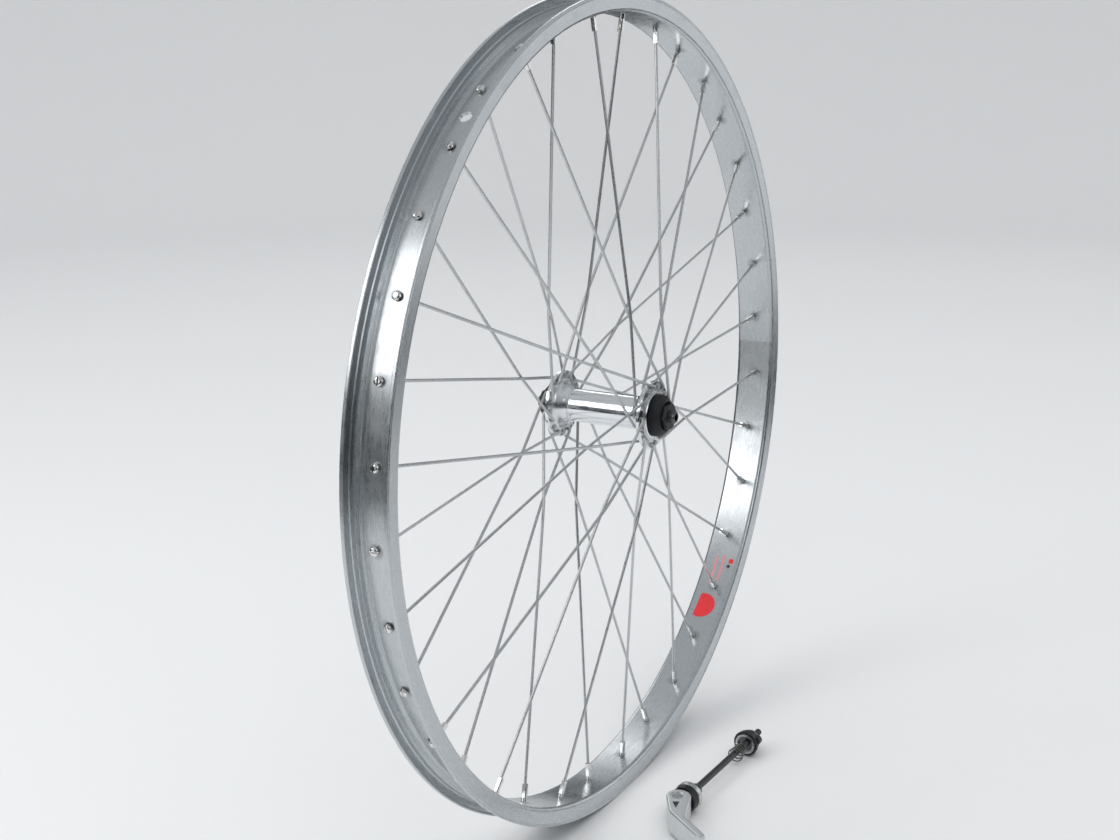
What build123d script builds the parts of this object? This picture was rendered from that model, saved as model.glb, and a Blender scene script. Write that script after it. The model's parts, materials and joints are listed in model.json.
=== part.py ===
"""A 26 inch bicycle front wheel with its quick release skewer lying beside it.

The wheel spins about +Y, +Z is up and the origin is the wheel's centre. Lengths are millimetres.
The skewer lies on the floor that the rim stands on, with its rod pointing roughly along +X.
"""

import os
from math import asin, atan2, cos, degrees, hypot, pi, radians, sin, sqrt

from build123d import *

# Rim
RIM_RADIUS = 286.0          # outer edge of the two flanges that hold the tyre
RIM_HALF_WIDTH = 16.25
RIM_FLOOR_RADIUS = 273.3    # the flat face on the hub's side
RIM_BED_RADIUS = 275.4      # the middle of the tyre channel
BEAD_SEAT_RADIUS = 279.6
RIM_CORNER_RADIUS = 3.0
VALVE_ANGLE = 129.5
VALVE_HOLE_RADIUS = 4.25

# Spokes and nipples
SPOKE_COUNT = 36
FIRST_SPOKE_ANGLE = 4.5
SPOKE_PITCH = 360.0 / SPOKE_COUNT
LACING_ANGLE = 60.0         # turn from a rim hole to its hub hole: three crossings
SPOKE_RADIUS = 1.0
SPOKE_HOLE_RADIUS = 1.25    # in the hub flange
SPOKE_HEAD_RADIUS = 1.9
SPOKE_HEAD_LENGTH = 1.2
ELBOW_LENGTH = 5.2          # underside of the head to the middle of the run
ELBOW_RADIUS = 2.2
CROSSING_BEND_RADIUS = 25.0
CROSSING_OFFSET = 1.05      # half the spacing of two spokes that touch where they cross
RIM_STAGGER = 1.3           # rim holes lean towards their own flange
NIPPLE_RADIUS = 2.0
NIPPLE_HOLE_RADIUS = 2.2
NIPPLE_BORE_RADIUS = 1.03
NIPPLE_LENGTH = 12.0        # on the hub's side of the rim
NIPPLE_FLATS = 3.35
NIPPLE_ROUND_LENGTH = 3.0
NIPPLE_HEAD_RADIUS = 3.0
NIPPLE_HEAD_BASE = 2.62     # above the rim's floor, along the nipple
NIPPLE_HEAD_HEIGHT = 2.2
NIPPLE_SLOT = 1.0

# Hub shell, wheel side
FLANGE_MIDDLE = 35.8
FLANGE_THICKNESS = 3.0
FLANGE_RADIUS = 23.75
FLANGE_HOLE_CIRCLE = 20.3
BARREL_RADIUS = 11.7
BARREL_BORE_RADIUS = 7.0
FLARE_START = 24.5
COLLAR_RADIUS = 16.5
COLLAR_END = 39.0
CUP_SEAT_RADIUS = 12.0
CUP_START = 28.5
CUP_END = 36.0
DUST_CAP_START = 36.2
DUST_CAP_END = 37.6
DUST_CAP_BORE_RADIUS = 9.2

# Bearings
BALL_COUNT = 10
BALL_RADIUS = 2.381
BALL_CIRCLE = 8.4
BALL_MIDDLE = 33.0
RACE_RADIUS = 2.45

# Axle side
AXLE_RADIUS = 4.5
AXLE_BORE_RADIUS = 2.6
AXLE_LENGTH = 108.0
AXLE_END_RADIUS = 4.3       # turned down beyond the locknuts, where the fork ends sit
AXLE_END_START = 50.3
CONE_START = 29.3
CONE_RADIUS = 8.6
CONE_NECK_RADIUS = 7.8
CONE_END = 42.5
CONE_FLATS = 13.0
SPACER_RADIUS = 8.0
LOCKNUT_START = 45.0
LOCKNUT_END = 50.0
LOCKNUT_FLATS = 17.0
SEAL_START = 39.4
SEAL_END = 47.0
SEAL_RADIUS = 14.75

# Skewer: its own X runs from the lever to the nut, and 0 is the clamping face on the lever's side
SKEWER_PLACE = Location((-4.2, -69.4, -275.8), (0, 0, -2.374))
ROD_RADIUS = 2.45
ROD_END = 118.0
THREAD_START = 86.0
THREAD_PITCH = 0.8
THREAD_DEPTH = 0.35
NUT_FACE = 92.0
NUT_END = 106.5
NUT_BORE_RADIUS = 2.5
INSERT_RADIUS = 7.8
INSERT_NECK_RADIUS = 4.0
INSERT_CLEARANCE = 0.05     # between the insert and the nut body around it
INSERT_TEETH_INNER = 6.2
INSERT_FLANGE = 3.2
INSERT_DISH = 2.4           # how far the middle of the insert's face is sunk
INSERT_LENGTH = 12.0
EAR_ANGLE = 155.0
EAR_X = NUT_FACE + 4.6
EAR_DISTANCE = 8.7          # from the rod's axis to the middle of the ear's round end
EAR_RADIUS = 3.5
EAR_THICKNESS = 5.6
CLAMP_RADIUS = 10.0
CLAMP_THICKNESS = 4.3
CLAMP_TEETH_INNER = 6.6
CLAMP_RECESS = 1.2
WASHER_BORE_RADIUS = ROD_RADIUS + 0.25
TOOTH_DEPTH = 0.55
CAM_WASHER_RADIUS = 9.5
CAM_WASHER_END = -12.0
PIVOT_X = -19.3
PIVOT_RADIUS = 3.75
PIVOT_LENGTH = 15.0
PIVOT_CLEARANCE = 0.05
CAM_OFFSET = 0.8            # from the pivot to the middle of the lever's drum
CAM_CLOSED_ANGLE = 45.0     # how far the lever turns from rest to closed
DRUM_RADIUS = 8.75
LEVER_WIDTH = 16.5
LEVER_SLOT = 5.9
SADDLE_RADIUS = 10.0
SADDLE_X = PIVOT_X - 0.33
ARM_ROOT_ANGLE = 213.0
ARM_TIP_ANGLE = 237.0
ARM_OUTER_ROOT = 22.0       # straight edges of the arm, on the outside of its bend
ARM_OUTER_TIP = 38.0
ARM_INNER_ROOT = 30.0       # and on the inside
ARM_INNER_TIP = 32.0
ARM_BENDS = (14.0, 2.4, 2.4, 5.0)
LEVER_EDGE = 1.2
LEVER_SINK_RADIUS = 5.2     # the shallow round sink about the pin, on both sides of the lever
LEVER_MARK = ((8.9, 4.6), (9.3, -0.6), (18.0, 3.0))    # corners: along the arm and outwards, from the pin
LEVER_MARK_DEPTH = 1.0
SPRING_WIRE_RADIUS = 0.5
SPRING_SMALL_RADIUS = 3.25
SPRING_LARGE_RADIUS = 5.6
SPRING_PITCH = 3.1
LEVER_SPRING = (1.8, 11.0, 12.0)    # place along the rod, length, droop in degrees
NUT_SPRING = (74.0, 14.0, 9.5)

SIDES = {"left": 1, "right": -1}


def turned(outline):
    """Turn an outline drawn as (radius, y) about the wheel's axle."""
    return revolve(make_face(outline), Axis.Y)


def turned_points(points, side=1):
    """Turn a closed polygon of (radius, y) points, mirrored to the given side."""
    return turned(Polyline(*[(radius, side * y) for radius, y in points], close=True))


def rod_turned(points):
    """Turn a closed polygon of (x, radius) points about the skewer's own X axis."""
    return revolve(make_face(Polyline(*points, close=True)), Axis.X)


def bent_path(points, radii):
    """A wire through the points, with each inner corner rounded to its own radius."""
    corners = [Vector(*point) for point in points]
    edges = []
    start = corners[0]
    for before, corner, after, radius in zip(corners, corners[1:], corners[2:], radii):
        way_in = (corner - before).normalized()
        way_out = (after - corner).normalized()
        turn = radians(way_in.get_angle(way_out))
        setback = radius * sin(turn / 2) / cos(turn / 2)
        arc_start = corner - way_in * setback
        arc_end = corner + way_out * setback
        inward = (way_out - way_in).normalized()
        arc_middle = corner + inward * (radius / cos(turn / 2) - radius)
        edges.append(Line(start, arc_start))
        edges.append(ThreePointArc(arc_start, arc_middle, arc_end))
        start = arc_end
    edges.append(Line(start, corners[-1]))
    return Wire(edges)


def spoke_layout(index):
    """Corner points, flange side and head side of one spoke.

    Even spokes go to the left flange. A leading spoke runs inside its flange and crosses over its
    neighbour's outside, and a trailing spoke does the opposite.
    """
    side = 1 if index % 2 == 0 else -1
    pair = (index // 2) % 2
    leading = pair == (1 if side > 0 else 0)
    rim_angle = radians(FIRST_SPOKE_ANGLE + SPOKE_PITCH * index)
    hub_angle = rim_angle + radians(LACING_ANGLE if leading else -LACING_ANGLE)
    hub_x = FLANGE_HOLE_CIRCLE * cos(hub_angle)
    hub_z = FLANGE_HOLE_CIRCLE * sin(hub_angle)
    rim_x = RIM_FLOOR_RADIUS * cos(rim_angle)
    rim_z = RIM_FLOOR_RADIUS * sin(rim_angle)
    length = hypot(rim_x - hub_x, rim_z - hub_z)
    nearest = abs(hub_x * rim_z - hub_z * rim_x) / length
    crossing_radius = nearest / sin(radians(SPOKE_PITCH) + asin(nearest / RIM_FLOOR_RADIUS))
    hub_run = sqrt(FLANGE_HOLE_CIRCLE**2 - nearest**2)
    part = (sqrt(crossing_radius**2 - nearest**2) - hub_run) / length
    crossing_y = FLANGE_MIDDLE + part * (RIM_STAGGER - FLANGE_MIDDLE)
    half = FLANGE_THICKNESS / 2
    if leading:
        head_y = FLANGE_MIDDLE + half
        run_y = head_y - ELBOW_LENGTH
        crossing_y += CROSSING_OFFSET
    else:
        head_y = FLANGE_MIDDLE - half
        run_y = head_y + ELBOW_LENGTH
        crossing_y -= CROSSING_OFFSET
    points = [
        (hub_x, side * head_y, hub_z),
        (hub_x, side * run_y, hub_z),
        (hub_x + part * (rim_x - hub_x), side * crossing_y, hub_z + part * (rim_z - hub_z)),
        (rim_x, side * RIM_STAGGER, rim_z),
    ]
    return points, side, leading


def rim_hole_plane(index):
    """The plane at a spoke's rim hole, facing outward along the spoke."""
    points, _, _ = spoke_layout(index)
    crossing = Vector(*points[2])
    hole = Vector(*points[3])
    return Plane(origin=hole, z_dir=hole - crossing)


def spoke(index):
    """One spoke: a flat head, an elbow through the flange, a bend where it crosses and a long run."""
    points, side, leading = spoke_layout(index)
    path = bent_path(points, [ELBOW_RADIUS, CROSSING_BEND_RADIUS])
    inward = -side if leading else side
    start = Plane(origin=points[0], z_dir=(0, inward, 0))
    wire = sweep(start * Circle(SPOKE_RADIUS), path=path)
    head = Cylinder(SPOKE_HEAD_RADIUS, SPOKE_HEAD_LENGTH, align=(Align.CENTER, Align.CENTER, Align.MAX))
    head = fillet(head.edges().sort_by(Axis.Z)[0], SPOKE_HEAD_LENGTH * 0.6)
    return wire + start * head


def spoke_group(side, leading):
    """The nine spokes of one flange that leave it on the same face."""
    members = []
    for index in range(SPOKE_COUNT):
        _, spoke_side, spoke_leading = spoke_layout(index)
        if spoke_side == side and spoke_leading == leading:
            members.append(spoke(index))
    return Compound(children=members)


def nipple():
    """One spoke nipple along +Z, with the rim's floor at 0."""
    shank = Cylinder(NIPPLE_RADIUS, NIPPLE_LENGTH, align=(Align.CENTER, Align.CENTER, Align.MAX))
    flats_length = NIPPLE_LENGTH - NIPPLE_ROUND_LENGTH
    square = Box(NIPPLE_FLATS, NIPPLE_FLATS, flats_length, align=(Align.CENTER, Align.CENTER, Align.MAX))
    round_part = Cylinder(NIPPLE_RADIUS, NIPPLE_ROUND_LENGTH, align=(Align.CENTER, Align.CENTER, Align.MAX))
    shank = (shank & Pos(0, 0, -NIPPLE_ROUND_LENGTH) * square) + round_part
    neck = Cylinder(NIPPLE_RADIUS, NIPPLE_HEAD_BASE, align=(Align.CENTER, Align.CENTER, Align.MIN))
    head_top = NIPPLE_HEAD_BASE + NIPPLE_HEAD_HEIGHT
    head = Pos(0, 0, NIPPLE_HEAD_BASE) * Cylinder(
        NIPPLE_HEAD_RADIUS, NIPPLE_HEAD_HEIGHT, align=(Align.CENTER, Align.CENTER, Align.MIN)
    )
    head = fillet(head.edges().sort_by(Axis.Z)[-1], NIPPLE_HEAD_HEIGHT * 0.7)
    slot = Pos(0, 0, head_top) * Box(3 * NIPPLE_HEAD_RADIUS, NIPPLE_SLOT, 2 * NIPPLE_SLOT)
    bore = Pos(0, 0, 1 - NIPPLE_LENGTH) * Cylinder(NIPPLE_BORE_RADIUS, 2 * NIPPLE_LENGTH)
    return shank + neck + head - slot - bore


def nipple_group(side):
    """The eighteen nipples whose spokes go to one flange."""
    shape = nipple()
    members = []
    for index in range(SPOKE_COUNT):
        if spoke_layout(index)[1] == side:
            members.append(rim_hole_plane(index).location * shape)
    return Compound(children=members)


def rim():
    """The rim: one turned section with hooked edges and a stepped tyre bed, drilled for the spokes."""
    half = RIM_HALF_WIDTH
    side_points = [
        (RIM_BED_RADIUS, 7.0),
        (277.0, 8.2),
        (277.0, 9.2),
        (BEAD_SEAT_RADIUS, 10.4),
        (BEAD_SEAT_RADIUS, 13.6),
        (280.3, 14.2),
        (284.3, 14.2),
        (284.9, 13.7),
        (RIM_RADIUS - 0.4, 13.7),
        (RIM_RADIUS, 14.1),
        (RIM_RADIUS, half - 0.4),
        (RIM_RADIUS - 0.4, half),
        (285.1, half),
        (284.8, half - 0.4),
        (284.3, half - 0.4),
        (284.0, half - 0.1),
        (RIM_FLOOR_RADIUS, half - 0.6),
    ]
    mirrored = [(radius, -y) for radius, y in reversed(side_points)]
    section = make_face(Polyline(*side_points, *mirrored, close=True))
    corners = section.vertices().filter_by(lambda vertex: vertex.X < RIM_FLOOR_RADIUS + 0.1)
    section = fillet(corners, RIM_CORNER_RADIUS)
    body = revolve(section, Axis.Y)
    drill = Cylinder(NIPPLE_HOLE_RADIUS, 12)
    holes = [rim_hole_plane(index).location * drill for index in range(SPOKE_COUNT)]
    valve = Rot(0, -VALVE_ANGLE, 0) * Pos(RIM_BED_RADIUS, 0, 0) * Rot(0, 90, 0)
    holes.append(valve * Cylinder(VALVE_HOLE_RADIUS, 12))
    return body - holes


def hub_shell():
    """The turned hub: a barrel that flares into two drilled flanges, bored for the bearings."""
    inner_face = FLANGE_MIDDLE - FLANGE_THICKNESS / 2
    outer_face = FLANGE_MIDDLE + FLANGE_THICKNESS / 2
    bevel = 0.6
    flare_end = (17.4, inner_face)
    upper = [
        flare_end,
        (FLANGE_RADIUS - bevel, inner_face),
        (FLANGE_RADIUS, inner_face + bevel),
        (FLANGE_RADIUS, outer_face - bevel),
        (FLANGE_RADIUS - bevel, outer_face),
        (COLLAR_RADIUS, outer_face),
        (COLLAR_RADIUS, COLLAR_END - bevel),
        (COLLAR_RADIUS - bevel, COLLAR_END),
        (CUP_SEAT_RADIUS, COLLAR_END),
        (CUP_SEAT_RADIUS, CUP_START),
        (BARREL_BORE_RADIUS, CUP_START),
    ]
    lower = [(radius, -y) for radius, y in reversed(upper)]
    outline = Polyline(*upper, *lower)
    outline += Spline(lower[-1], (13.7, -28.6), (BARREL_RADIUS, -FLARE_START), tangents=[(-1, 0.5), (0, 1)])
    outline += Line((BARREL_RADIUS, -FLARE_START), (BARREL_RADIUS, FLARE_START))
    outline += Spline((BARREL_RADIUS, FLARE_START), (13.7, 28.6), flare_end, tangents=[(0, 1), (1, 0.5)])
    body = turned(outline)
    holes = []
    for index in range(SPOKE_COUNT):
        points, side, _ = spoke_layout(index)
        hole = Rot(90, 0, 0) * Cylinder(SPOKE_HOLE_RADIUS, 2 * FLANGE_THICKNESS)
        holes.append(Pos(points[0][0], side * FLANGE_MIDDLE, points[0][2]) * hole)
    return body - holes


def bearing_cup(side):
    """A hardened cup pressed into the hub, with its race facing outward."""
    race = CenterArc((BALL_CIRCLE, BALL_MIDDLE), RACE_RADIUS, -90, 90)
    mouth = BALL_CIRCLE + RACE_RADIUS
    outline = race + Polyline(
        (mouth, BALL_MIDDLE),
        (mouth, CUP_END),
        (CUP_SEAT_RADIUS, CUP_END),
        (CUP_SEAT_RADIUS, CUP_START),
        (BARREL_BORE_RADIUS, CUP_START),
        (BARREL_BORE_RADIUS, BALL_MIDDLE - RACE_RADIUS),
        (BALL_CIRCLE, BALL_MIDDLE - RACE_RADIUS),
    )
    cup = turned(outline)
    return cup if side > 0 else mirror(cup, Plane.XZ)


def bearing_balls(side):
    """The loose balls of one bearing."""
    balls = []
    for index in range(BALL_COUNT):
        angle = 2 * pi * index / BALL_COUNT
        place = Pos(BALL_CIRCLE * cos(angle), side * BALL_MIDDLE, BALL_CIRCLE * sin(angle))
        balls.append(place * Sphere(BALL_RADIUS))
    return Compound(children=balls)


def cone(side):
    """The threaded cone that the balls run on, with two spanner flats on its neck."""
    race = CenterArc((BALL_CIRCLE, BALL_MIDDLE), RACE_RADIUS, 90, 90)
    outline = race + Polyline(
        (BALL_CIRCLE - RACE_RADIUS, BALL_MIDDLE),
        (BALL_CIRCLE - RACE_RADIUS - 0.45, CONE_START),
        (AXLE_RADIUS, CONE_START),
        (AXLE_RADIUS, CONE_END),
        (CONE_NECK_RADIUS, CONE_END),
        (CONE_NECK_RADIUS, 38.8),
        (CONE_RADIUS, 38.0),
        (CONE_RADIUS, BALL_MIDDLE + RACE_RADIUS),
        (BALL_CIRCLE, BALL_MIDDLE + RACE_RADIUS),
    )
    body = turned(outline)
    for sign in (-1, 1):
        flat = Pos(sign * (CONE_FLATS / 2 + 5), 41.0, 0) * Box(10, 3.2, 30)
        body -= flat
    return body if side > 0 else mirror(body, Plane.XZ)


def dust_cap(side):
    """A thin steel ring pressed into the hub's mouth over the bearing."""
    points = [
        (DUST_CAP_BORE_RADIUS, DUST_CAP_START),
        (CUP_SEAT_RADIUS, DUST_CAP_START),
        (CUP_SEAT_RADIUS, DUST_CAP_END),
        (DUST_CAP_BORE_RADIUS, DUST_CAP_END),
    ]
    return turned_points(points, side)


def axle():
    """The hollow axle, with bevelled ends."""
    half = AXLE_LENGTH / 2
    bevel = 0.6
    upper = [
        (AXLE_RADIUS, AXLE_END_START),
        (AXLE_END_RADIUS, AXLE_END_START),
        (AXLE_END_RADIUS, half - bevel),
        (AXLE_END_RADIUS - bevel, half),
        (AXLE_BORE_RADIUS, half),
    ]
    lower = [(radius, -y) for radius, y in reversed(upper)]
    return turned_points(upper + lower)


def spacer(side):
    """The washer between a cone and its locknut."""
    points = [
        (AXLE_RADIUS, CONE_END),
        (SPACER_RADIUS, CONE_END),
        (SPACER_RADIUS, LOCKNUT_START),
        (AXLE_RADIUS, LOCKNUT_START),
    ]
    return turned_points(points, side)


def locknut(side):
    """A hexagon nut with bevelled corners that locks the cone and bears on the fork end."""
    height = LOCKNUT_END - LOCKNUT_START
    hexagon = extrude(RegularPolygon(LOCKNUT_FLATS / 2, 6, major_radius=False), height)
    corner = LOCKNUT_FLATS / 2 / cos(pi / 6)
    crown = Cylinder(corner, height, align=(Align.CENTER, Align.CENTER, Align.MIN))
    crown = chamfer(crown.edges().sort_by(Axis.Z)[-1], 0.6, 1.1)
    nut = (hexagon & crown) - Cylinder(AXLE_RADIUS, 3 * height)
    nut = Pos(0, LOCKNUT_START, 0) * Rot(-90, 0, 0) * nut
    return nut if side > 0 else mirror(nut, Plane.XZ)


def seal(side):
    """The domed rubber boot that grips the spacer and covers the bearing."""
    nut_clearance = 10.05
    rim_of_dome = (SEAL_RADIUS, 41.6)
    lip = (10.8, SEAL_END)
    outline = Polyline(
        lip,
        (nut_clearance, SEAL_END),
        (nut_clearance, LOCKNUT_START - 0.1),
        (SPACER_RADIUS, LOCKNUT_START - 0.1),
        (SPACER_RADIUS, CONE_END + 0.2),
        (11.4, CONE_END + 0.2),
        (13.3, 41.0),
        (13.3, SEAL_START),
        (SEAL_RADIUS, SEAL_START),
        rim_of_dome,
    )
    outline += Spline(rim_of_dome, (13.6, 44.6), lip, tangents=[(0, 1), (-1, 0.5)])
    boot = turned(outline)
    return boot if side > 0 else mirror(boot, Plane.XZ)


def toothed(body, face_x, inner_radius, outer_radius, count, facing):
    """Cut radial V teeth into a ring's face; facing is the way the face looks along X."""
    width = 2 * pi * outer_radius / count * 0.55
    bottom = face_x - facing * TOOTH_DEPTH
    groove = Polyline((face_x + facing, -width), (bottom, 0), (face_x + facing, width), close=True)
    length = outer_radius - inner_radius + 2
    cutter = Pos(0, 0, inner_radius - 0.5) * extrude(make_face(groove), length)
    cutters = [Rot(360.0 * index / count, 0, 0) * cutter for index in range(count)]
    return body - cutters


def skewer_rod():
    """The rod, with a rolled thread shown as closely spaced grooves at the nut's end."""
    start = PIVOT_X - 2.6
    points = [(start, 0), (start, ROD_RADIUS), (THREAD_START, ROD_RADIUS)]
    turns = int((ROD_END - 1 - THREAD_START) / THREAD_PITCH)
    for turn in range(turns):
        root = THREAD_START + THREAD_PITCH * (turn + 0.5)
        points.append((root, ROD_RADIUS - THREAD_DEPTH))
        points.append((root + THREAD_PITCH / 2, ROD_RADIUS))
    points.append((ROD_END - 0.6, ROD_RADIUS))
    points.append((ROD_END, ROD_RADIUS - 0.6))
    points.append((ROD_END, 0))
    return rod_turned(points)


def cam_pivot():
    """The cross pin that the rod ends in and the lever turns on."""
    pin = Pos(PIVOT_X, 0, 0) * Cylinder(PIVOT_RADIUS, PIVOT_LENGTH)
    pin = chamfer(pin.edges().filter_by(GeomType.CIRCLE), 0.4)
    return pin - Pos(PIVOT_X, 0, 0) * Rot(0, 90, 0) * Cylinder(NUT_BORE_RADIUS, 4 * PIVOT_RADIUS)


def drum_middle():
    """Where the middle of the lever's drum is when the lever lies at rest."""
    angle = radians(-CAM_CLOSED_ANGLE)
    return Vector(PIVOT_X + CAM_OFFSET * cos(angle), CAM_OFFSET * sin(angle), 0)


def cam_lever():
    """The lever: an eccentric drum, slotted for the rod, and a bent arm that ends in a paddle."""
    middle = drum_middle()
    root_way = Vector(cos(radians(ARM_ROOT_ANGLE)), sin(radians(ARM_ROOT_ANGLE)), 0)
    tip_way = Vector(cos(radians(ARM_TIP_ANGLE)), sin(radians(ARM_TIP_ANGLE)), 0)
    outward = Vector(root_way.Y, -root_way.X, 0)
    outer_bend = middle + outward * DRUM_RADIUS + root_way * ARM_OUTER_ROOT
    inner_bend = middle - outward * 1.2 + root_way * ARM_INNER_ROOT
    outer_tip = outer_bend + tip_way * ARM_OUTER_TIP
    inner_tip = inner_bend + tip_way * ARM_INNER_TIP
    drum_start = middle + outward * DRUM_RADIUS
    drum_end = middle - outward * 8.2 + root_way * 3
    arm = make_face(Polyline(drum_start, outer_bend, outer_tip, inner_tip, inner_bend, drum_end, close=True))
    for point, radius in zip((outer_bend, outer_tip, inner_tip, inner_bend), ARM_BENDS):
        corner = arm.vertices().sort_by_distance(point)[0]
        arm = fillet(corner, radius)
    arm = Pos(0, 0, -LEVER_WIDTH / 2) * extrude(arm, LEVER_WIDTH)
    drum = Pos(middle.X, middle.Y, 0) * Cylinder(DRUM_RADIUS, LEVER_WIDTH)
    lever = drum + arm
    edges = lever.edges().filter_by(lambda edge: abs(abs(edge.center().Z) - LEVER_WIDTH / 2) < 0.01)
    lever = fillet(edges, LEVER_EDGE)
    bore = Pos(PIVOT_X, 0, 0) * Cylinder(PIVOT_RADIUS + PIVOT_CLEARANCE, 2 * LEVER_WIDTH)
    sink = Cylinder(LEVER_SINK_RADIUS, LEVER_WIDTH) - Cylinder(LEVER_SINK_RADIUS, PIVOT_LENGTH)
    reach = 2 * DRUM_RADIUS
    slot = Box(reach, 2 * reach, LEVER_SLOT, align=(Align.MIN, Align.CENTER, Align.CENTER))
    slot = Pos(PIVOT_X, 0, 0) * Rot(0, 0, CAM_CLOSED_ANGLE) * Pos(-ROD_RADIUS - 0.35, 0, 0) * slot
    return lever - bore - Pos(PIVOT_X, 0, 0) * sink - slot - lever_mark(root_way, outward)


def lever_mark(root_way, outward):
    """A plain triangular recess in the lever's upper face, beside the pin."""
    pin = Vector(PIVOT_X, 0, LEVER_WIDTH / 2 - LEVER_MARK_DEPTH)
    corners = [pin + root_way * along + outward * across for along, across in LEVER_MARK]
    return extrude(make_face(Polyline(*corners, close=True)), 2 * LEVER_MARK_DEPTH, dir=(0, 0, 1))


def cam_washer():
    """The black saddle that the lever's drum slides in."""
    points = [
        (-CLAMP_THICKNESS, WASHER_BORE_RADIUS),
        (-CLAMP_THICKNESS, CAM_WASHER_RADIUS),
        (CAM_WASHER_END + 0.8, CAM_WASHER_RADIUS),
        (CAM_WASHER_END, CAM_WASHER_RADIUS - 0.8),
        (CAM_WASHER_END, WASHER_BORE_RADIUS),
    ]
    return rod_turned(points) - Pos(SADDLE_X, 0, 0) * Cylinder(SADDLE_RADIUS, 3 * LEVER_WIDTH)


def clamp_washer():
    """The steel ring on the lever's side, toothed where it bites the fork end."""
    points = [
        (-CLAMP_THICKNESS, WASHER_BORE_RADIUS),
        (-CLAMP_THICKNESS, CLAMP_RADIUS - 0.6),
        (0.6 - CLAMP_THICKNESS, CLAMP_RADIUS),
        (-0.3, CLAMP_RADIUS),
        (0, CLAMP_RADIUS - 0.3),
        (0, CLAMP_TEETH_INNER),
        (-CLAMP_RECESS, CLAMP_TEETH_INNER),
        (-CLAMP_RECESS, WASHER_BORE_RADIUS),
    ]
    return toothed(rod_turned(points), 0, CLAMP_TEETH_INNER, CLAMP_RADIUS, 28, 1)


def adjusting_nut():
    """The black domed nut body with one ear for the fingers."""
    recess = INSERT_RADIUS + INSERT_CLEARANCE
    bore = INSERT_NECK_RADIUS + INSERT_CLEARANCE
    recess_floor = NUT_FACE + INSERT_FLANGE + INSERT_CLEARANCE
    points = [
        (NUT_FACE + 0.9, recess),
        (NUT_FACE + 0.9, 9.3),
        (NUT_FACE + 1.6, 9.75),
        (NUT_FACE + 4.5, 9.5),
        (NUT_FACE + 9.0, 8.3),
        (NUT_FACE + 12.5, 6.9),
        (NUT_END - 0.4, 5.9),
        (NUT_END, 5.5),
        (NUT_END, bore),
        (recess_floor, bore),
        (recess_floor, recess),
    ]
    dome = rod_turned(points)
    ear = Rot(0, 90, 0) * Cylinder(EAR_RADIUS, EAR_THICKNESS)
    ear = fillet(ear.edges().filter_by(GeomType.CIRCLE), 1.0)
    ear = Pos(EAR_X, 0, 0) * Rot(EAR_ANGLE, 0, 0) * Pos(0, EAR_DISTANCE, 0) * ear
    hollow = Pos(EAR_X, 0, 0) * Rot(0, 90, 0) * Cylinder(recess, 2 * EAR_THICKNESS)
    return dome + (ear - hollow)


def nut_insert():
    """The steel thread insert, with a toothed ring that bites the fork end."""
    dish = NUT_FACE + INSERT_DISH
    points = [
        (NUT_FACE, INSERT_TEETH_INNER),
        (NUT_FACE, INSERT_RADIUS),
        (NUT_FACE + INSERT_FLANGE, INSERT_RADIUS),
        (NUT_FACE + INSERT_FLANGE, INSERT_NECK_RADIUS),
        (NUT_FACE + INSERT_LENGTH, INSERT_NECK_RADIUS),
        (NUT_FACE + INSERT_LENGTH, NUT_BORE_RADIUS),
        (dish, NUT_BORE_RADIUS),
        (dish, INSERT_TEETH_INNER),
    ]
    return toothed(rod_turned(points), NUT_FACE, INSERT_TEETH_INNER, INSERT_RADIUS, 24, -1)


def cone_spring(place, length, droop):
    """A conical coil on the rod, its wide end towards the lever, drooping until that end hangs on the rod."""
    taper = degrees(atan2(SPRING_LARGE_RADIUS - SPRING_SMALL_RADIUS, length))
    path = Helix(SPRING_PITCH, length, SPRING_SMALL_RADIUS, cone_angle=taper)
    section = Plane(origin=path @ 0, z_dir=path % 0) * Circle(SPRING_WIRE_RADIUS)
    coil = Rot(0, 90, 0) * sweep(section, path=path)
    coil = mirror(Rot(0, droop, 0) * coil, Plane.YZ)
    return Pos(place + length, 0, 0) * coil


def main():
    parts = {
        "rim": rim(),
        "hub_shell": hub_shell(),
        "axle": axle(),
        "skewer_rod": SKEWER_PLACE * skewer_rod(),
        "cam_pivot": SKEWER_PLACE * cam_pivot(),
        "cam_lever": SKEWER_PLACE * cam_lever(),
        "cam_washer": SKEWER_PLACE * cam_washer(),
        "clamp_washer": SKEWER_PLACE * clamp_washer(),
        "spring_lever_side": SKEWER_PLACE * cone_spring(*LEVER_SPRING),
        "spring_nut_side": SKEWER_PLACE * cone_spring(*NUT_SPRING),
        "adjusting_nut": SKEWER_PLACE * adjusting_nut(),
        "nut_insert": SKEWER_PLACE * nut_insert(),
    }
    for name, side in SIDES.items():
        parts[f"nipples_{name}"] = nipple_group(side)
        parts[f"spokes_{name}_inside"] = spoke_group(side, True)
        parts[f"spokes_{name}_outside"] = spoke_group(side, False)
        parts[f"bearing_cup_{name}"] = bearing_cup(side)
        parts[f"bearing_balls_{name}"] = bearing_balls(side)
        parts[f"dust_cap_{name}"] = dust_cap(side)
        parts[f"cone_{name}"] = cone(side)
        parts[f"spacer_{name}"] = spacer(side)
        parts[f"locknut_{name}"] = locknut(side)
        parts[f"seal_{name}"] = seal(side)
    os.makedirs("parts", exist_ok=True)
    for name, shape in parts.items():
        export_step(shape, f"parts/{name}.step")


if __name__ == "__main__":
    main()
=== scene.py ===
"""Looks for a bicycle front wheel and the quick release skewer that lies beside it.

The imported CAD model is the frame. Its nodes keep their shape and get procedural materials. The
screw threads, the rim's label, the lever's enamel and the nut's nylon ring are built here. Lengths
are metres.
"""

import json
from math import atan2, cos, hypot, pi, radians, sin

import bpy
from mathutils import Matrix, Vector


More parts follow.
